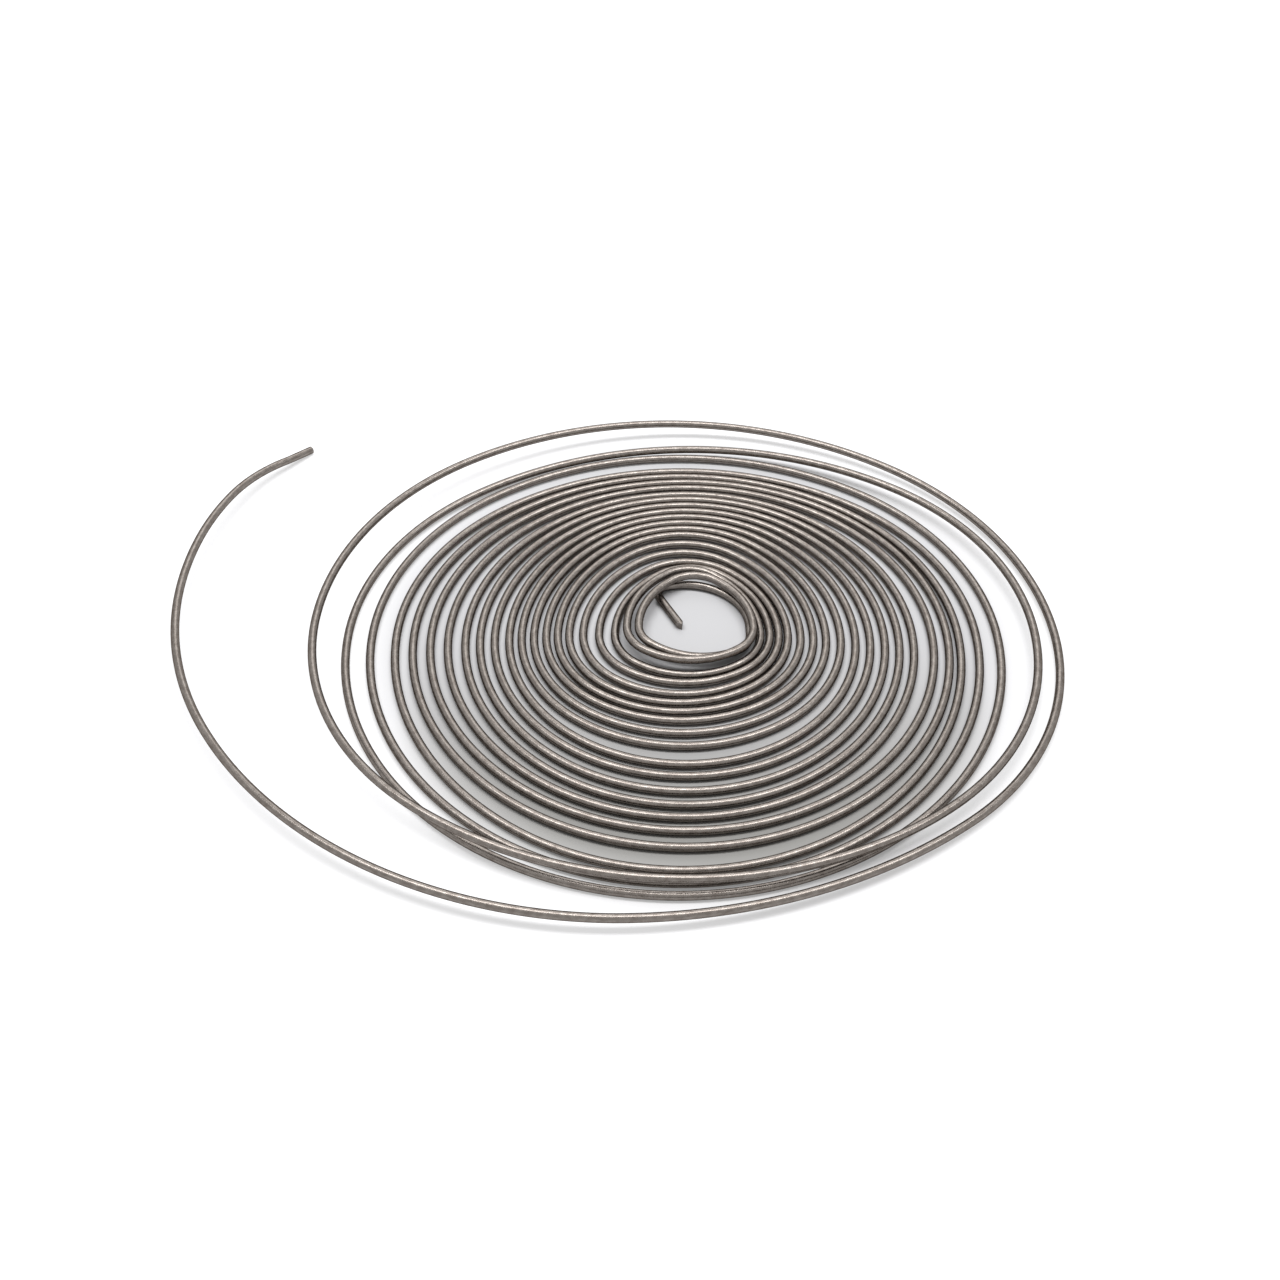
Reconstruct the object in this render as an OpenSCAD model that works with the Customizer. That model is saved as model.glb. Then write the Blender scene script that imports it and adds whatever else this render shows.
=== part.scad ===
// Coil of round resistance wire, one length wound loosely into a nearly flat spiral.
// Lengths are in mm. The wire lies on Z = 0 and is widest along the X axis, and the tail leaves at the left.
// Every half turn is an arch of tangent arcs from its reach on one side to its reach on the other.
// Half turns are counted outward from the first flat one, which starts on the right.

/* [Wire] */
// Diameter of the wire
wire_d = 1.5; // [1.4:0.05:1.55]

/* [Flat turns] */
// Half turns that lie flat
flat_half_turns = 35; // [31:2:35]
// Distance from the bore's middle to the first flat turn, on the right
bore_reach = 12; // [11.6:0.1:14]
// Share of the open gaps that is kept between flat turns
gap_share = 1; // [0.9:0.05:1.15]
// Distance from the bore's middle forward to the line where the turns are widest
widest_at = 3; // [2.5:0.1:3.5]

/* [Stacked turns] */
// Clear height left where one turn passes over another
pass_gap = 0.25; // [0.2:0.05:0.5]

/* [Inner end] */
// Straight length before the innermost part turn, on the right
end_start = 2; // [1:0.1:2.5]
// Radius of the innermost part turn, to the middle of the wire
end_r = 11.3; // [10.8:0.1:11.4]
// Angle of the innermost part turn
end_sweep = 109; // [100:1:116]
// Radius of the hook's bend, to the middle of the wire
hook_r = 2.1; // [1.8:0.1:2.6]
// Angle of the hook's bend
hook_sweep = 98; // [85:1:105]
// Straight length after the hook's bend
hook_len = 8.8; // [5:0.1:10]
// Angle between the two faces of the pinched tip
tip_angle = 70; // [50:5:110]

/* [Outer end] */
// Straight length between the last half turn and the tail's bend
tail_start = 22; // [16:0.5:26]
// Radius of the tail's bend, to the middle of the wire
tail_r = 40; // [35:1:50]
// Straight length at the tail's cut end
tail_len = 6.5; // [4:0.5:12]

/* [Hidden] */

// Open gaps added up from the bore outward, as [turn, sum], to each side and in the middle of a half turn
gaps_right = [[0, 0], [3, 0.4], [6, 2.7], [10, 7.1], [12, 9.2], [13, 11.2], [14, 12.4], [15, 12.9], [16, 14.6],
    [17, 16.9]];
gaps_left = [[0, 2.1], [2, 4.8], [3, 5.8], [5, 6.9], [8, 9], [11, 12.3], [14, 17.1], [15, 18.7], [17, 24.4]];
gaps_front = [[0, 1.3], [1, 1.8], [2, 3], [5, 4.7], [7, 7.4], [8, 9.9], [11, 14.1], [13, 16.1], [14, 18.1],
    [15, 21.1], [17, 22.8]];
gaps_back = [[0, 3], [1, 3.2], [4, 6.6], [8, 7.8], [12, 9.1], [15, 10], [16, 13], [17, 13.7]];

// Half turns beyond the flat ones, each row one half turn further from them:
// gap to the turn beside it where it ends, gap in its middle, and height in passes where it ends
outer_turns = [[4.6, 0.1, 1.2], [3.8, -2.4, 2.2], [2.6, 5.8, 0.3], [24.6, 4.8, 1.8]];
inner_turns = [[0.6, -0.05, 1], [-0.1, 0.5, 1], [0.6, 1.2, 1.1], [-1.05, 0.1, 0]];

least_bulge = 0.3;           // a half turn that bulges less than this is a plain half circle
tail_sweep = 45;
haunch = 53.1301;            // where an arch's side arcs meet its crown: the 3-4-5 angle, to 4 decimals
pass = wire_d + pass_gap;    // height from the middle of one wire to the middle of one passing over it
cutter = 3 * wire_d;
facets = 96;
wire_facets = 24;

// A length to the nearest 0.02 mm, so that arcs meet face to face
function to_step(x) = round(x / 0.02) * 0.02;

function flat_reach(turn, gaps) = bore_reach + turn * wire_d + gap_share * lookup(turn, gaps);

// Reach from the origin to the middle of the wire where half turn h starts, on the right for an even h
function side_reach(h) = to_step(
    h < 0 ? side_reach(h + 2) - wire_d - inner_turns[-h - 1][0] :
    h > flat_half_turns ? side_reach(h - 2) + wire_d + outer_turns[h - flat_half_turns - 1][0] :
    flat_reach(floor(h / 2), h % 2 == 0 ? gaps_right : gaps_left));

// Reach to the front or back in the middle of half turn h, to the front for an even h
function mid_reach(h) = to_step(
    h < 0 ? mid_reach(h + 2) - wire_d - inner_turns[-h - 1][1] :
    h >= flat_half_turns ? mid_reach(h - 2) + wire_d + outer_turns[h - flat_half_turns][1] :
    h % 2 == 0 ? flat_reach(floor(h / 2), gaps_front) - widest_at :
    flat_reach(floor(h / 2), gaps_back) + widest_at);

// Height of the wire above the flat turns where half turn h starts, in passes
function height(h) = h < 0 ? inner_turns[-h - 1][2] : h > flat_half_turns ? outer_turns[h - flat_half_turns - 1][2] : 0;

// Arc of wire about the origin. A fine share of the radius is moved apart, so that it isn't rounded away.
module bend(r, sweep, from = 0, fine = 0) {
    rotate_extrude(angle = sweep, start = from, $fn = facets)
        translate([fine, 0]) translate([r, 0]) circle(d = wire_d, $fn = wire_facets);
}

// Straight wire from the origin along -Y
module straight(length) {
    rotate([90, 0, 0]) cylinder(h = length, d = wire_d, $fn = facets);
}

// Half turn from the origin to [-span, 0], out to -Y as far as its own reach
module arch(span, reach) {
    half = span / 2;
    bulge = to_step(reach - half);
    if (abs(bulge) < least_bulge) {
        translate([-half, 0]) bend(half, -180);
    } else {
        side = half + 1.5 * bulge;
        shorter = 1.5 * bulge / cos(haunch);
        translate([-side, 0]) bend(side, -haunch);
        translate([side - span, 0]) rotate(180) bend(side, haunch);
        translate([-half, -2 * bulge]) translate([0, 2 * bulge - shorter * sin(haunch)]) rotate(-90)
            bend(half - bulge, 2 * (90 - haunch), haunch - 90, 2.5 * bulge - shorter);
    }
}

module flat_turns() {
    for (h = [0 : flat_half_turns - 1]) {
        rotate(180 * (h % 2)) translate([side_reach(h), 0]) arch(side_reach(h) + side_reach(h + 1), mid_reach(h));
    }
}

// The last half turns from the start of half turn h, which is at the origin, and the end that follows them.
// Each one leans about the wire's own heading, so it climbs or drops without a kink. way is 1 outward, -1 inward.
module climb(h, way, last, lean = 0) {
    next = h + way;
    span = side_reach(h) + side_reach(next);
    rise = asin(pass * (height(next) - height(h)) / span);
    rotate([0, lean + rise, 0]) {
        arch(span, mid_reach(min(h, next)));
        translate([-span, 0, 0]) rotate(180) {
            if (next == last) rotate([0, rise, 0]) children();
            else climb(next, way, last, rise) children();
        }
    }
}

// Moves to a point in two steps, the second one fine, so that nothing of it is rounded away
module at(point) {
    coarse = [for (x = point) to_step(x)];
    translate(coarse) translate(point - coarse) children();
}

function around(r, angle) = [r * cos(angle), r * sin(angle), 0];

// Innermost part turn, hook and pinched tip, all flat
module inner_end() {
    end_mid = [-end_r, -end_start, 0];
    hook_mid = end_mid + around(end_r - hook_r, -end_sweep);
    turned = -end_sweep - hook_sweep;
    straight(end_start);
    translate(end_mid) bend(end_r, -end_sweep);
    at(hook_mid) bend(hook_r, -hook_sweep, -end_sweep);
    at(hook_mid + around(hook_r, turned)) rotate(turned) pinched(hook_len);
}

// Straight wire from the origin along -Y, cut to a wedge by side cutters
module pinched(length) {
    difference() {
        straight(length);
        for (turned = [0, 180]) {
            translate([0, -length, 0]) rotate([0, turned, 0]) rotate(-tip_angle / 2)
                translate([0, -cutter, -cutter]) cube(2 * cutter);
        }
    }
}

// The tail comes down to the flat turns' own level at its cut end
module tail() {
    inward = tail_r * (1 - cos(tail_sweep)) + tail_len * sin(tail_sweep);
    drop = asin(pass * height(flat_half_turns + len(outer_turns)) / inward);
    straight(tail_start);
    translate([0, -tail_start, 0]) rotate([0, -drop, 0]) {
        translate([-tail_r, 0, 0]) bend(tail_r, -tail_sweep);
        at([-tail_r, 0, 0] + around(tail_r, -tail_sweep)) rotate(-tail_sweep) straight(tail_len);
    }
}

module wire() color("dimgray") translate([0, 0, wire_d / 2]) {
    flat_turns();
    rotate(180) translate([side_reach(flat_half_turns), 0, 0])
        climb(flat_half_turns, 1, flat_half_turns + len(outer_turns)) tail();
    mirror([0, 1, 0]) translate([side_reach(0), 0, 0]) climb(0, -1, -len(inner_turns)) inner_end();
}

wire();
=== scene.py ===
"""Dresses a coil of bare resistance wire: one drawn wire, wound loosely into a nearly flat spiral.

Lengths are in metres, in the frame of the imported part: the wire lies on Z = 0 and is widest
along X.
"""

import logging
import math
from dataclasses import dataclass
from enum import Enum
from itertools import accumulate, pairwise
from typing import Any

import bmesh
import bpy
from mathutils import Matrix, Vector

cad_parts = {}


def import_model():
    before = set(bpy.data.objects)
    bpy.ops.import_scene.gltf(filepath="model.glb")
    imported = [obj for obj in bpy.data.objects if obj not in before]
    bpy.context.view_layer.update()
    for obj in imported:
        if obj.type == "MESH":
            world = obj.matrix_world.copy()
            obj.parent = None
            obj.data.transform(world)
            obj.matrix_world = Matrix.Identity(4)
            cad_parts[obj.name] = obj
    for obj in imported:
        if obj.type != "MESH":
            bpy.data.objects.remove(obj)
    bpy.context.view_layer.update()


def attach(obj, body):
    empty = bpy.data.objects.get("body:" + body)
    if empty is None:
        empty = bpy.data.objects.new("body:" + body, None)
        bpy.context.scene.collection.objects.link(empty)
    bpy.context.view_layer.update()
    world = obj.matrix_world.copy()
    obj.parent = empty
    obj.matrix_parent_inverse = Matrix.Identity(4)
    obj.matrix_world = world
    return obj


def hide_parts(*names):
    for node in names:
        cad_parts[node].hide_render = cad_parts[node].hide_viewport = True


log = logging.getLogger("coil")

MM = 0.001


def linear(hex_colour: str) -> tuple[float, float, float, float]:
    """Turns an sRGB hex colour to linear.

    Args:
        hex_colour: The colour, as six hex digits.

    Returns:
        Red, green, blue and an alpha of 1.
    """
    channels = [int(hex_colour[i : i + 2], 16) / 255 for i in (0, 2, 4)]
    made = [c / 12.92 if c <= 0.04045 else ((c + 0.055) / 1.055) ** 2.4 for c in channels]
    return (made[0], made[1], made[2], 1.0)


def add_node(
    tree: bpy.types.NodeTree,
    kind: str,
    links: dict[Any, bpy.types.NodeSocket] | None = None,
    values: dict[Any, Any] | None = None,
    **settings: Any,
) -> bpy.types.Node:
    """Adds one node with its settings, input values and incoming links.

    Args:
        tree: The node tree that gets the node.
        kind: The node's type name.
        links: Output sockets to link in, by input name or index.
        values: Default values, by input name or index.
        **settings: Properties of the node itself.

    Returns:
        The node.
    """
    node = tree.nodes.new(kind)
    for name, value in settings.items():
        setattr(node, name, value)
    for name, value in (values or {}).items():
        node.inputs[name].default_value = value
    for name, socket in (links or {}).items():
        tree.links.new(socket, node.inputs[name])
    return node


def maths(
    tree: bpy.types.NodeTree,
    operation: str,
    first: bpy.types.NodeSocket,
    second: bpy.types.NodeSocket,
    clamped: bool = False,
) -> bpy.types.NodeSocket:
    """Works out one value from two.

    Args:
        tree: The node tree that gets the node.
        operation: What is done with the two values.
        first: The first value.
        second: The second value.
        clamped: Whether the result is kept from 0 to 1.

    Returns:
        The result.
    """
    links = {0: first, 1: second}
    node = add_node(tree, "ShaderNodeMath", links, operation=operation, use_clamp=clamped)
    return node.outputs[0]


def smooth_step(
    tree: bpy.types.NodeTree, distance: bpy.types.NodeSocket, start: float, end: float
) -> bpy.types.NodeSocket:
    """Turns a distance to a smooth step.

    Args:
        tree: The node tree that gets the step.
        distance: The distance.
        start: Where the step is still 0.
        end: Where it has become 1.

    Returns:
        The step.
    """
    node = add_node(
        tree,
        "ShaderNodeMapRange",
        {"Value": distance},
        {"From Min": start, "From Max": end},
        interpolation_type="SMOOTHSTEP",
    )
    return node.outputs["Result"]


def seen_rays(tree: bpy.types.NodeTree) -> bpy.types.NodeSocket:
    """Marks the rays that see a surface as the camera does: direct, mirrored or through glass.

    Args:
        tree: The node tree of the surface or the surround.

    Returns:
        A value of 1 for such a ray and 0 for any other.
    """
    path = add_node(tree, "ShaderNodeLightPath").outputs
    either = maths(tree, "MAXIMUM", path["Is Camera Ray"], path["Is Glossy Ray"])
    return maths(tree, "MAXIMUM", either, path["Is Transmission Ray"])


class Side(Enum):
    """The side of the coil on which a half turn starts."""

    RIGHT = 0
    LEFT = 1


@dataclass(frozen=True)
class Gauge:
    """The wire's own sizes and the way it is stacked."""

    diameter: float = 1.5 * MM
    pass_gap: float = 0.25 * MM

    @property
    def radius(self) -> float:
        """Half the diameter."""
        return self.diameter / 2

    @property
    def pass_height(self) -> float:
        """Height from the middle of one wire to the middle of one that passes over it."""
        return self.diameter + self.pass_gap


# Open gaps in mm, added up from the bore outward, as (turn, sum), at the ends of a half turn
GAPS_TO_SIDE = {
    Side.RIGHT: [
        *[(0, 0), (3, 0.4), (6, 2.7), (10, 7.1), (12, 9.2), (13, 11.2)],
        *[(14, 12.4), (15, 12.9), (16, 14.6), (17, 16.9)],
    ],
    Side.LEFT: [
        *[(0, 2.1), (2, 4.8), (3, 5.8), (5, 6.9), (8, 9)],
        *[(11, 12.3), (14, 17.1), (15, 18.7), (17, 24.4)],
    ],
}
# The same in the middle of a half turn
GAPS_TO_MIDDLE = {
    Side.RIGHT: [
        *[(0, 1.3), (1, 1.8), (2, 3), (5, 4.7), (7, 7.4), (8, 9.9)],
        *[(11, 14.1), (13, 16.1), (14, 18.1), (15, 21.1), (17, 22.8)],
    ],
    Side.LEFT: [
        *[(0, 3), (1, 3.2), (4, 6.6), (8, 7.8)],
        *[(12, 9.1), (15, 10), (16, 13), (17, 13.7)],
    ],
}
# Half turns beyond the flat ones: gap in mm beside the end, gap beside the middle, and height at
# the end in passes
OUTER_TURNS = [(4.6, 0.1, 1.2), (3.8, -2.4, 2.2), (2.6, 5.8, 0.3), (24.6, 4.8, 1.8)]
INNER_TURNS = [(0.6, -0.05, 1), (-0.1, 0.5, 1), (0.6, 1.2, 1.1), (-1.05, 0.1, 0)]
# The loose end's smooth arcs, from the front on: radius in mm, and sweep in degrees
TAIL_ARCS = [(81.65, 57.43), (71, 51.97), (36, 25.61)]
# The step in mm to which the part's own arcs are rounded
ROUNDED_TO = 0.02


def between(at: float, table: list[tuple[float, float]]) -> float:
    """Reads a table of pairs on the straight line between two neighbours.

    Args:
        at: The place to read at.
        table: Pairs of place and value, in rising order.

    Returns:
        The value.
    """
    for (low, a), (high, b) in pairwise(table):
        if at <= high:
            return a + (b - a) * (at - low) / (high - low)
    return table[-1][1]


def to_step(length: float) -> float:
    """Rounds a length as the part's own arcs are rounded.

    Args:
        length: The length.

    Returns:
        The nearest whole number of steps.
    """
    return round(length / (ROUNDED_TO * MM)) * ROUNDED_TO * MM


def lengths_along(path: list[Vector]) -> list[float]:
    """Measures a path from its start to each of its points.

    Args:
        path: The points.

    Returns:
        One length for each point, with 0 for the first.
    """
    return list(accumulate(((b - a).length for a, b in pairwise(path)), initial=0.0))


@dataclass
class Route:
    """The wire's middle line, from the pinched inner tip to the tail's cut end."""

    gauge: Gauge
    flat_half_turns: int = 35
    bore_reach: float = 12 * MM
    widest_at: float = 3 * MM
    least_bulge: float = 0.3 * MM
    end_start: float = 2 * MM
    end_radius: float = 11.3 * MM
    end_sweep: float = math.radians(109)
    hook_radius: float = 2.1 * MM
    hook_sweep: float = math.radians(98)
    hook_length: float = 8.8 * MM
    tail_start: float = 22 * MM
    tail_radius: float = 40 * MM
    tail_sweep: float = math.radians(45)
    tail_length: float = 6.5 * MM
    longest_step: float = 1.6 * MM
    widest_step: float = math.radians(6)

    @property
    def haunch(self) -> float:
        """Angle at which an arch's side arcs meet its crown."""
        return math.atan2(4, 3)

    def flat_reach(self, h: int, gaps: dict[Side, list[tuple[float, float]]]) -> float:
        """Reach of a flat half turn.

        Args:
            h: The half turn, counted outward from the first flat one.
            gaps: The table for each side.

        Returns:
            The distance from the bore's middle to the middle of the wire.
        """
        turn = h // 2
        return self.bore_reach + turn * self.gauge.diameter + between(turn, gaps[Side(h % 2)]) * MM

    def side_reach(self, h: int) -> float:
        """Reach to the side where a half turn starts.

        Args:
            h: The half turn, below 0 inside the flat ones.

        Returns:
            The distance from the bore's middle to the middle of the wire.
        """
        if h < 0:
            gap = INNER_TURNS[-h - 1][0] * MM
            return to_step(self.side_reach(h + 2) - self.gauge.diameter - gap)
        if h > self.flat_half_turns:
            gap = OUTER_TURNS[h - self.flat_half_turns - 1][0] * MM
            return to_step(self.side_reach(h - 2) + self.gauge.diameter + gap)
        return to_step(self.flat_reach(h, GAPS_TO_SIDE))

    def middle_reach(self, h: int) -> float:
        """Reach to the front or back in the middle of a half turn.

        Args:
            h: The half turn, below 0 inside the flat ones.

        Returns:
            The distance from the line across the coil's widest place to the middle of the wire.
        """
        if h < 0:
            gap = INNER_TURNS[-h - 1][1] * MM
            return to_step(self.middle_reach(h + 2) - self.gauge.diameter - gap)
        if h >= self.flat_half_turns:
            gap = OUTER_TURNS[h - self.flat_half_turns][1] * MM
            return to_step(self.middle_reach(h - 2) + self.gauge.diameter + gap)
        forward = self.widest_at if h % 2 == Side.RIGHT.value else -self.widest_at
        return to_step(self.flat_reach(h, GAPS_TO_MIDDLE) - forward)

    def height(self, h: int) -> float:
        """Height of the wire above the flat turns where a half turn starts.

        Args:
            h: The half turn, below 0 inside the flat ones.

        Returns:
            The height.
        """
        passes = 0.0
        if h < 0:
            passes = INNER_TURNS[-h - 1][2]
        elif h > self.flat_half_turns:
            passes = OUTER_TURNS[h - self.flat_half_turns - 1][2]
        return passes * self.gauge.pass_height

    def arc(self, centre: Vector, radius: float, start: float, sweep: float) -> list[Vector]:
        """Points along an arc in its own plane.

        Args:
            centre: The arc's centre.
            radius: Its radius.
            start: The angle at which it starts.
            sweep: The angle it turns through.

        Returns:
            The points, without the first one.
        """
        step = min(self.widest_step, self.longest_step / radius)
        count = max(2, math.ceil(abs(sweep) / step))
        angles = [start + sweep * (i + 1) / count for i in range(count)]
        return [centre + radius * Vector((math.cos(a), math.sin(a), 0)) for a in angles]

    def arch(self, span: float, reach: float) -> list[Vector]:
        """A half turn from the origin to (-span, 0), out to -Y as far as its reach.

        Args:
            span: The distance between its two ends.
            reach: How far it goes to -Y.

        Returns:
            The points, without the first one.
        """
        half = span / 2
        bulge = to_step(reach - half)
        if abs(bulge) < self.least_bulge:
            return self.arc(Vector((-half, 0, 0)), half, 0, -math.pi)
        side = half + 1.5 * bulge
        crown_middle = Vector((-half, -2 * bulge, 0))
        crown_sweep = 2 * self.haunch - math.pi
        return [
            *self.arc(Vector((-side, 0, 0)), side, 0, -self.haunch),
            *self.arc(crown_middle, half - bulge, -self.haunch, crown_sweep),
            *self.arc(Vector((side - span, 0, 0)), side, self.haunch - math.pi, -self.haunch),
        ]

    def flat_run(self) -> list[Vector]:
        """Lays the flat half turns.

        Returns:
            The points, from the inside outward.
        """
        points = [Vector((self.side_reach(0), 0, 0))]
        for h in range(self.flat_half_turns):
            start = Matrix.Translation((self.side_reach(h), 0, 0))
            place = Matrix.Rotation(math.pi * (h % 2), 4, "Z") @ start
            arch = self.arch(self.side_reach(h) + self.side_reach(h + 1), self.middle_reach(h))
            points += [place @ p for p in arch]
        return points

    def climb(self, h: int, way: int, last: int, place: Matrix) -> tuple[list[Vector], Matrix]:
        """Half turns that rise or drop, each leaning about the wire's own heading.

        Args:
            h: The half turn's start that place stands at.
            way: 1 for outward and -1 for inward.
            last: The start of the half turn after the last one made.
            place: The frame that the turn before left.

        Returns:
            The points without the first one, and the frame at the end.
        """
        points: list[Vector] = []
        lean = 0.0
        while h != last:
            after = h + way
            span = self.side_reach(h) + self.side_reach(after)
            rise = math.asin((self.height(after) - self.height(h)) / span)
            place = place @ Matrix.Rotation(lean + rise, 4, "Y")
            points += [place @ p for p in self.arch(span, self.middle_reach(min(h, after)))]
            place = place @ Matrix.Translation((-span, 0, 0)) @ Matrix.Rotation(math.pi, 4, "Z")
            lean = rise
            h = after
        return points, place @ Matrix.Rotation(lean, 4, "Y")

    def inner_run(self) -> list[Vector]:
        """Lays the inner half turns, the part turn and the hook.

        Returns:
            The points, from the flat run inward.
        """
        place = Matrix.Scale(-1, 4, (0, 1, 0)) @ Matrix.Translation((self.side_reach(0), 0, 0))
        points, place = self.climb(0, -1, -len(INNER_TURNS), place)
        along = Vector((math.cos(self.end_sweep), -math.sin(self.end_sweep), 0))
        end_middle = Vector((-self.end_radius, -self.end_start, 0))
        hook_middle = end_middle + (self.end_radius - self.hook_radius) * along
        local = [Vector((0, -self.end_start, 0))]
        local += self.arc(end_middle, self.end_radius, 0, -self.end_sweep)
        local += self.arc(hook_middle, self.hook_radius, -self.end_sweep, -self.hook_sweep)
        turned = self.end_sweep + self.hook_sweep
        straight = self.hook_length * Vector((-math.sin(turned), -math.cos(turned), 0))
        local.append(local[-1] + straight)
        return points + [place @ p for p in local]

    def outer_run(self) -> list[Vector]:
        """Lays the loose outer half turns and the tail.

        Returns:
            The points, from the flat run outward.
        """
        last = self.flat_half_turns + len(OUTER_TURNS)
        place = Matrix.Rotation(math.pi, 4, "Z")
        place = place @ Matrix.Translation((self.side_reach(self.flat_half_turns), 0, 0))
        points, place = self.climb(self.flat_half_turns, 1, last, place)
        sweep = self.tail_sweep
        inward = self.tail_radius * (1 - math.cos(sweep)) + self.tail_length * math.sin(sweep)
        drop = math.asin(self.height(last) / inward)
        place = place @ Matrix.Translation((0, -self.tail_start, 0))
        points.append(place.to_translation())
        place = place @ Matrix.Rotation(-drop, 4, "Y")
        local = self.arc(Vector((-self.tail_radius, 0, 0)), self.tail_radius, 0, -sweep)
        cut = local[-1] + self.tail_length * Vector((-math.sin(sweep), -math.cos(sweep), 0))
        return [*self.eased(points + [place @ p for p in local]), place @ cut]

    def eased(self, path: list[Vector]) -> list[Vector]:
        """Redraws the loose end, from the foremost point on, as smooth arcs at the heights it had.

        Args:
            path: The outer run as far as the straight at its cut end.

        Returns:
            The same run with its loose end redrawn.
        """
        turn = path.index(min(path, key=lambda p: p.y))
        loose = path[turn:]
        heights = list(zip(lengths_along(loose), (p.z for p in loose)))
        heading = math.pi
        drawn = [loose[0].copy()]
        for radius, degrees in TAIL_ARCS:
            sweep = math.radians(degrees)
            inward = radius * MM * Vector((math.sin(heading), -math.cos(heading), 0))
            drawn += self.arc(drawn[-1] + inward, radius * MM, heading + math.pi / 2, -sweep)
            heading -= sweep
        run = lengths_along(drawn)
        for point, done in zip(drawn[1:], run[1:]):
            point.z = between(done / run[-1] * heights[-1][0], heights)
        return path[:turn] + drawn

    def points(self) -> list[Vector]:
        """Lays the whole wire on the floor.

        Returns:
            Every point, from the pinched tip to the tail's cut end.
        """
        lift = Vector((0, 0, self.gauge.radius))
        line = self.inner_run()[::-1] + self.flat_run() + self.outer_run()
        return [p + lift for p in line]


@dataclass(frozen=True)
class DrawnWire:
    """Nickel-chrome resistance wire, drawn through a die and bright annealed.

    It is a satin grey, a little warm from its thin oxide, with fine die lines along it.
    """

    metal: str = "837d78"
    oxide: str = "6c6560"
    rim: str = "8c8884"
    oxide_patch: float = 6 * MM
    patch_stretch: float = 2.0
    oxide_from: float = 0.35
    oxide_full: float = 0.7
    smoothest: float = 0.17
    roughest: float = 0.37
    die_lines_per_mm: float = 9.0
    line_stretch: float = 60.0
    # The real grain is about 0.05 mm, too fine to show, so it's drawn five times coarser
    grain: float = 0.25 * MM
    texture_low: float = 0.6
    texture_high: float = 1.4
    relief: float = 0.02 * MM
    relief_strength: float = 0.4

    def colour(self, tree: bpy.types.NodeTree, where: bpy.types.NodeSocket) -> bpy.types.NodeSocket:
        """Mixes clean metal and thin oxide in soft patches that are long along the wire.

        Args:
            tree: The material's node tree.
            where: The wire's own coordinates.

        Returns:
            The colour.
        """
        along = 1 / self.oxide_patch
        scale = (along, self.patch_stretch * along, self.patch_stretch * along)
        patches_at = add_node(tree, "ShaderNodeMapping", {"Vector": where}, {"Scale": scale})
        patches = add_node(
            tree, "ShaderNodeTexNoise", {"Vector": patches_at.outputs[0]}, {"Detail": 6.0}
        )
        ramp = add_node(tree, "ShaderNodeValToRGB", {0: patches.outputs[0]})
        clean, oxidised = ramp.color_ramp.elements
        clean.position, clean.color = self.oxide_from, linear(self.metal)
        oxidised.position, oxidised.color = self.oxide_full, linear(self.oxide)
        return ramp.outputs[0]

    def texture(
        self, tree: bpy.types.NodeTree, where: bpy.types.NodeSocket
    ) -> bpy.types.NodeSocket:
        """Adds up the die lines, which are very long along the wire, and the fine grain.

        Args:
            tree: The material's node tree.
            where: The wire's own coordinates.

        Returns:
            The texture's height, from about 0.6 to 1.4.
        """
        fine = self.die_lines_per_mm / MM
        scale = (fine / self.line_stretch, fine, fine)
        lines_at = add_node(tree, "ShaderNodeMapping", {"Vector": where}, {"Scale": scale})
        lines = add_node(
            tree, "ShaderNodeTexNoise", {"Vector": lines_at.outputs[0]}, {"Detail": 2.0}
        )
        grain_values = {"Scale": 1 / self.grain, "Detail": 3.0}
        grain = add_node(tree, "ShaderNodeTexNoise", {"Vector": where}, grain_values)
        return maths(tree, "ADD", lines.outputs[0], grain.outputs[0])

    def material(self) -> bpy.types.Material:
        """Builds the material from the wire's own coordinates: along it, and across its section.

        Returns:
            The material.
        """
        made = bpy.data.materials.new("drawn_nickel_chrome_wire")
        made.use_nodes = True
        tree = made.node_tree
        tree.nodes.clear()
        drawn = add_node(
            tree, "ShaderNodeAttribute", attribute_name="drawn", attribute_type="GEOMETRY"
        )
        where = drawn.outputs["Vector"]
        texture = self.texture(tree, where)
        rough = add_node(
            tree,
            "ShaderNodeMapRange",
            {"Value": texture},
            {
                "From Min": self.texture_low,
                "From Max": self.texture_high,
                "To Min": self.smoothest,
                "To Max": self.roughest,
            },
        )
        bump = add_node(
            tree,
            "ShaderNodeBump",
            {"Height": texture},
            {"Strength": self.relief_strength, "Distance": self.relief},
        )
        shader = add_node(
            tree,
            "ShaderNodeBsdfPrincipled",
            {
                "Base Color": self.colour(tree, where),
                "Roughness": rough.outputs[0],
                "Normal": bump.outputs[0],
            },
            {"Metallic": 1.0, "Specular Tint": linear(self.rim)},
        )
        add_node(tree, "ShaderNodeOutputMaterial", {"Surface": shader.outputs[0]})
        return made


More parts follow.
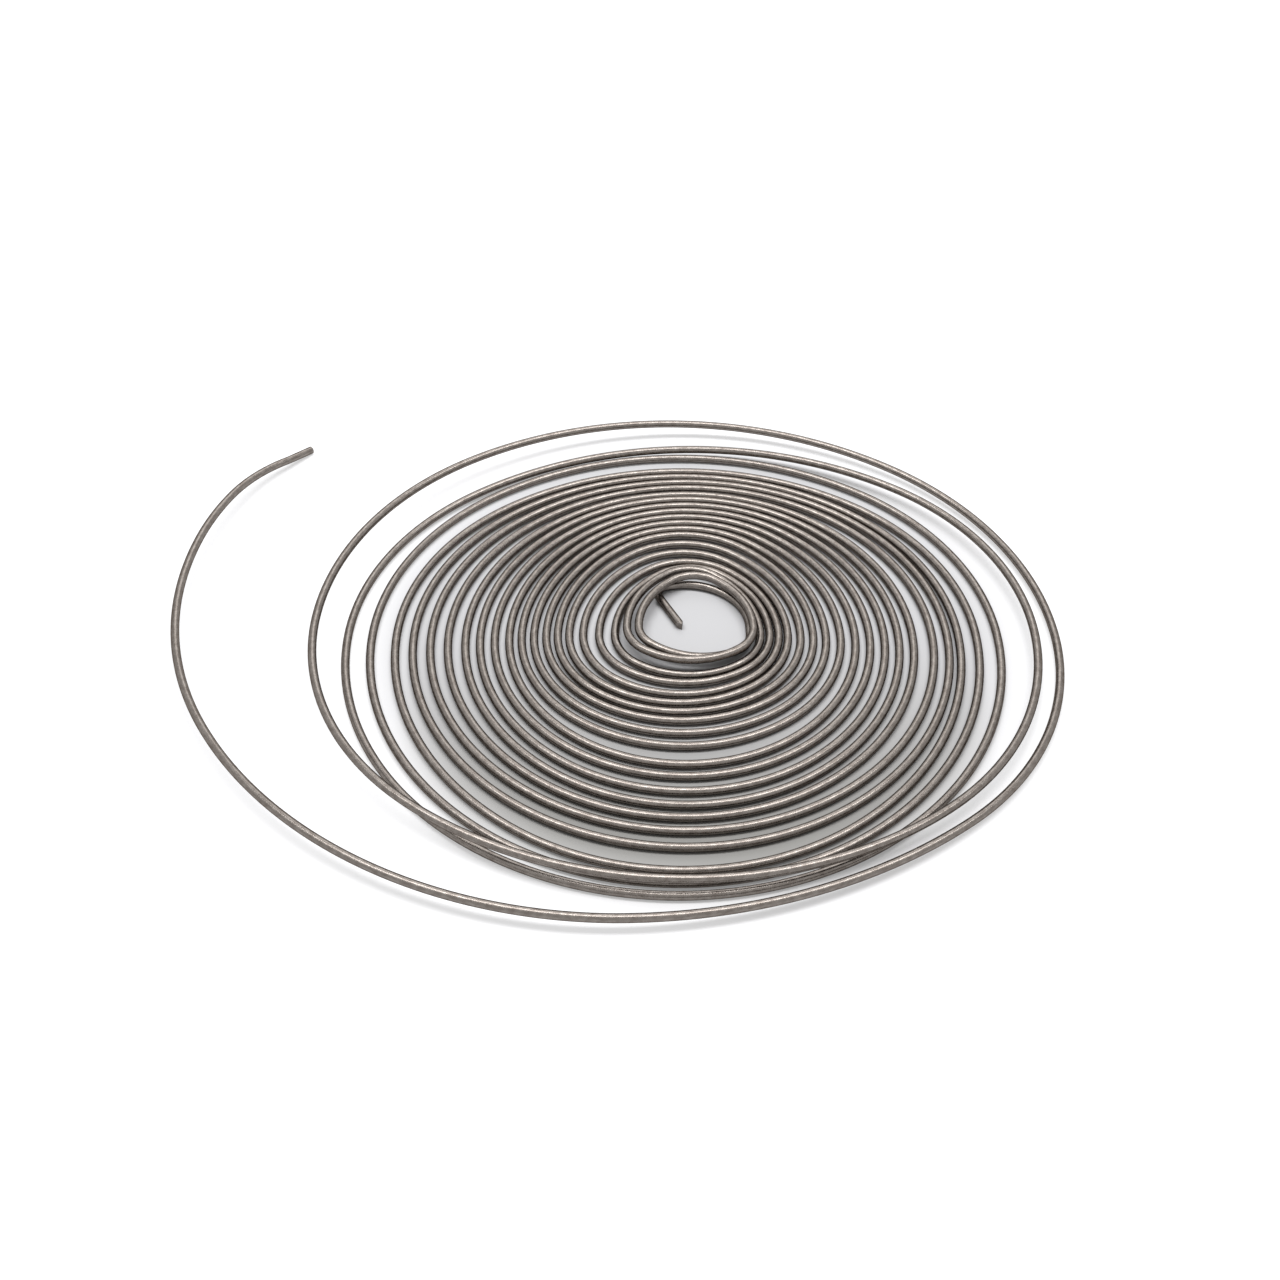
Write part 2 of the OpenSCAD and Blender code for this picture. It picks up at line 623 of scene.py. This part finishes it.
@dataclass
class WireCoil:
    """The one wire: its route swept with a round section, its tip pinched and its tail cut."""

    gauge: Gauge
    route: Route
    finish: DrawnWire
    sides: int = 24
    tip_angle: float = math.radians(70)

    @staticmethod
    def stored(
        tree: bpy.types.NodeTree,
        name: str,
        geometry: bpy.types.NodeSocket,
        value: bpy.types.NodeSocket,
        data_type: str = "FLOAT_VECTOR",
    ) -> bpy.types.NodeSocket:
        """Stores a value on a geometry's points.

        Args:
            tree: The Geometry Nodes tree.
            name: The attribute's name.
            geometry: The geometry that gets it.
            value: The value.
            data_type: The value's type.

        Returns:
            The geometry with its attribute.
        """
        node = add_node(
            tree,
            "GeometryNodeStoreNamedAttribute",
            {"Geometry": geometry, "Value": value},
            {"Name": name},
            data_type=data_type,
            domain="POINT",
        )
        return node.outputs[0]

    @staticmethod
    def read(
        tree: bpy.types.NodeTree, name: str, data_type: str = "FLOAT_VECTOR"
    ) -> bpy.types.NodeSocket:
        """Reads a stored value back.

        Args:
            tree: The Geometry Nodes tree.
            name: The attribute's name.
            data_type: The value's type.

        Returns:
            The value.
        """
        node = add_node(
            tree, "GeometryNodeInputNamedAttribute", values={"Name": name}, data_type=data_type
        )
        return node.outputs[0]

    def sweep_tree(self) -> bpy.types.NodeTree:
        """Sweeps a round section along a line, and stores the wire's own coordinates.

        Returns:
            The Geometry Nodes tree.
        """
        tree = bpy.data.node_groups.new("wire_sweep", "GeometryNodeTree")
        for name, kind in (
            ("Line", "NodeSocketGeometry"),
            ("Radius", "NodeSocketFloat"),
            ("Sides", "NodeSocketInt"),
            ("Finish", "NodeSocketMaterial"),
        ):
            tree.interface.new_socket(name, in_out="INPUT", socket_type=kind)
        tree.interface.new_socket("Wire", in_out="OUTPUT", socket_type="NodeSocketGeometry")
        given = add_node(tree, "NodeGroupInput").outputs
        line = add_node(tree, "GeometryNodeMeshToCurve", {"Mesh": given["Line"]})
        length = add_node(tree, "GeometryNodeSplineParameter").outputs["Length"]
        along = self.stored(tree, "along", line.outputs[0], length, "FLOAT")
        section = add_node(
            tree,
            "GeometryNodeCurvePrimitiveCircle",
            {"Resolution": given["Sides"], "Radius": given["Radius"]},
            mode="RADIUS",
        )
        place = add_node(tree, "GeometryNodeInputPosition")
        across = self.stored(tree, "across", section.outputs[0], place.outputs[0])
        swept = add_node(
            tree,
            "GeometryNodeCurveToMesh",
            {"Curve": along, "Profile Curve": across},
            {"Fill Caps": True},
        )
        parts = add_node(tree, "ShaderNodeSeparateXYZ", {0: self.read(tree, "across")}).outputs
        own = {0: self.read(tree, "along", "FLOAT"), 1: parts[0], 2: parts[1]}
        drawn = add_node(tree, "ShaderNodeCombineXYZ", own)
        marked = self.stored(tree, "drawn", swept.outputs[0], drawn.outputs[0])
        smooth = add_node(tree, "GeometryNodeSetShadeSmooth", {0: marked})
        real = add_node(tree, "GeometryNodeRealizeInstances", {0: smooth.outputs[0]})
        dressed = add_node(
            tree,
            "GeometryNodeSetMaterial",
            {"Geometry": real.outputs[0], "Material": given["Finish"]},
        )
        add_node(tree, "NodeGroupOutput", {"Wire": dressed.outputs[0]})
        return tree

    def swept_mesh(self, points: list[Vector], material: bpy.types.Material) -> bpy.types.Mesh:
        """Runs the sweep along the route.

        Args:
            points: The route's points.
            material: The wire's material.

        Returns:
            A plain mesh.
        """
        line = bpy.data.meshes.new("route")
        line.from_pydata(points, list(pairwise(range(len(points)))), [])
        carrier = bpy.data.objects.new("carrier", line)
        bpy.context.scene.collection.objects.link(carrier)
        tree = self.sweep_tree()
        modifier = carrier.modifiers.new("sweep", "NODES")
        modifier.node_group = tree
        sizes = {"Radius": self.gauge.radius, "Sides": self.sides, "Finish": material}
        for item in tree.interface.items_tree:
            if item.name in sizes:
                modifier[item.identifier] = sizes[item.name]
        evaluated = carrier.evaluated_get(bpy.context.evaluated_depsgraph_get())
        mesh = bpy.data.meshes.new_from_object(evaluated)
        carrier.modifiers.remove(modifier)
        bpy.data.objects.remove(carrier)
        return mesh

    def cut_ends(self, mesh: bpy.types.Mesh, tip: Vector, heading: Vector) -> None:
        """Pinches the inner tip to a wedge, and gives both ends flat faces with crisp edges.

        Args:
            mesh: The swept wire.
            tip: The middle of the tip's ridge.
            heading: The wire's direction where it ends in the tip.
        """
        near = 2 * self.gauge.diameter
        work = bmesh.new()
        work.from_mesh(mesh)
        for turned in (-1, 1):
            outward = Matrix.Rotation(turned * (math.pi - self.tip_angle) / 2, 3, "Z") @ heading
            verts = [v for v in work.verts if (v.co - tip).length < near]
            edges = {e for v in verts for e in v.link_edges}
            faces = {f for v in verts for f in v.link_faces}
            corners_of = {v for f in faces for v in f.verts}
            cut = bmesh.ops.bisect_plane(
                work,
                geom=[*corners_of, *edges, *faces],
                plane_co=tip,
                plane_no=outward,
                clear_outer=True,
            )
            rim = [e for e in cut["geom_cut"] if isinstance(e, bmesh.types.BMEdge)]
            bmesh.ops.contextual_create(work, geom=rim)
        # Only the end faces and the two sides that the tip's ridge meets have over four corners
        for face in work.faces:
            if len(face.verts) > 4:
                face.smooth = False
                for edge in face.edges:
                    edge.smooth = False
        work.normal_update()
        work.to_mesh(mesh)
        work.free()

    def build(self) -> bpy.types.Object:
        """Makes the wire and puts it in the place of the CAD node.

        Returns:
            The finished piece.
        """
        points = self.route.points()
        mesh = self.swept_mesh(points, self.finish.material())
        mesh.name = "resistance_wire"
        self.cut_ends(mesh, points[0], (points[0] - points[1]).normalized())
        piece = bpy.data.objects.new("resistance_wire", mesh)
        bpy.context.scene.collection.objects.link(piece)
        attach(piece, "root")
        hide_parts("wire")
        return piece


@dataclass(frozen=True)
class Lamp:
    """A flat soft lamp that points at the coil, with its sides in metres and its power in watts."""

    name: str
    place: Vector
    wide: float
    deep: float
    power: float

    def build(self) -> None:
        """Hangs the lamp in its place."""
        data = bpy.data.lights.new(self.name, "AREA")
        data.shape = "RECTANGLE"
        data.size = self.wide
        data.size_y = self.deep
        data.energy = self.power
        lamp = bpy.data.objects.new(self.name, data)
        bpy.context.scene.collection.objects.link(lamp)
        lamp.location = self.place
        lamp.rotation_euler = (-self.place).to_track_quat("-Z", "Y").to_euler()


@dataclass
class Studio:
    """A white floor under a long soft lamp, with a weaker one behind for the turns at the sides.

    Between the turns, a painted shade darkens the paper towards the front. To the camera, it is
    lifted to plain white from just outside the flat turns, and more so in the distance.
    """

    key: Lamp = Lamp("key", Vector((0, 0.08, 0.8)), wide=1.0, deep=0.25, power=6.6)
    back: Lamp = Lamp("back", Vector((0, 0.75, 0.75)), wide=0.6, deep=0.5, power=1.8)

    floor_size: float = 4.0
    paper: str = "cfcfd1"
    # Painted shade between the turns, deepening from shade_from towards the front at shade_to
    painted_shade_paper: str = "9f9e9b"
    shade_from: float = 5 * MM
    shade_to: float = -50 * MM
    lift: float = 0.5
    lift_from: float = 48 * MM
    lift_to: float = 64 * MM
    far_lift: float = 1.0
    far_from: float = 0.15
    far_to: float = 0.8
    world_level: float = 0.28

    def paper_material(self) -> bpy.types.Material:
        """Builds the floor's paper, which is plain white to the camera away from the coil.

        Returns:
            The material.
        """
        material = bpy.data.materials.new("white_paper")
        material.use_nodes = True
        tree = material.node_tree
        tree.nodes.clear()
        place = add_node(tree, "ShaderNodeTexCoord").outputs["Object"]
        distance = add_node(tree, "ShaderNodeVectorMath", {0: place}, operation="LENGTH")
        away = distance.outputs["Value"]
        outside = smooth_step(tree, away, self.lift_from, self.lift_to)
        # Painted shade: inside the coil, the paper is blended towards a darker tone at the front
        forward = add_node(tree, "ShaderNodeSeparateXYZ", {0: place}).outputs["Y"]
        front = smooth_step(tree, forward, self.shade_from, self.shade_to)
        painted_shade_mask = maths(tree, "SUBTRACT", front, outside, clamped=True)
        tone = add_node(
            tree,
            "ShaderNodeMix",
            {"Factor": painted_shade_mask},
            {"A": linear(self.paper), "B": linear(self.painted_shade_paper)},
            data_type="RGBA",
        )
        matt = add_node(tree, "ShaderNodeBsdfDiffuse", {"Color": tone.outputs["Result"]})
        lifted = maths(tree, "MULTIPLY", seen_rays(tree), outside)
        strength = add_node(
            tree,
            "ShaderNodeMapRange",
            {"Value": away},
            {
                "From Min": self.far_from,
                "From Max": self.far_to,
                "To Min": self.lift,
                "To Max": self.far_lift,
            },
        )
        level = maths(tree, "MULTIPLY", lifted, strength.outputs["Result"])
        glow = add_node(tree, "ShaderNodeEmission", {"Strength": level})
        both = add_node(tree, "ShaderNodeAddShader", {0: matt.outputs[0], 1: glow.outputs[0]})
        add_node(tree, "ShaderNodeOutputMaterial", {"Surface": both.outputs[0]})
        return material

    def floor(self) -> None:
        """Lays the sheet that the coil lies on and that keeps its shadow."""
        half = self.floor_size / 2
        sheet = [(-half, -half, 0), (half, -half, 0), (half, half, 0), (-half, half, 0)]
        mesh = bpy.data.meshes.new("floor")
        mesh.from_pydata(sheet, [], [(0, 1, 2, 3)])
        mesh.materials.append(self.paper_material())
        floor = bpy.data.objects.new("floor", mesh)
        bpy.context.scene.collection.objects.link(floor)

    def world(self) -> None:
        """Sets a white surround where it is seen or mirrored, and a plain dim one as a light."""
        world = bpy.data.worlds.new("studio")
        bpy.context.scene.world = world
        world.use_nodes = True
        tree = world.node_tree
        tree.nodes.clear()
        dim, white = (
            add_node(
                tree, "ShaderNodeBackground", values={"Color": (1, 1, 1, 1), "Strength": level}
            ).outputs[0]
            for level in (self.world_level, 1.0)
        )
        mixed = add_node(tree, "ShaderNodeMixShader", {0: seen_rays(tree), 1: dim, 2: white})
        add_node(tree, "ShaderNodeOutputWorld", {"Surface": mixed.outputs[0]})

    def build(self) -> None:
        """Builds the floor, the lamps and the surround."""
        self.floor()
        self.key.build()
        self.back.build()
        self.world()


@dataclass
class Viewpoint:
    """The camera, looking down on the coil from the front."""

    target: Vector
    distance: float = 264.3 * MM
    elevation: float = math.radians(44)
    view_angle: float = math.radians(46.8)
    sensor_width: float = 36.0
    nearest: float = 10 * MM

    def build(self) -> None:
        """Makes the camera and sets it as the scene's own."""
        data = bpy.data.cameras.new("camera")
        data.sensor_width = self.sensor_width
        data.lens = self.sensor_width / 2 / math.tan(self.view_angle / 2)
        data.clip_start = self.nearest
        camera = bpy.data.objects.new("camera", data)
        bpy.context.scene.collection.objects.link(camera)
        back = Vector((0, -math.cos(self.elevation), math.sin(self.elevation)))
        camera.location = self.target + self.distance * back
        camera.rotation_euler = (-back).to_track_quat("-Z", "Y").to_euler()
        bpy.context.scene.camera = camera


def main() -> None:
    """Builds the coil, the studio and the camera."""
    logging.basicConfig(level=logging.INFO, format="%(message)s")
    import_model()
    gauge = Gauge()
    coil = WireCoil(gauge, Route(gauge), DrawnWire()).build()
    log.info("%s: %d faces", coil.name, len(coil.data.polygons))
    Studio().build()
    Viewpoint(target=Vector((-9.6 * MM, -1.5 * MM, gauge.radius))).build()
    bpy.context.scene.view_settings.view_transform = "Standard"


if __name__ == "__main__":
    main()
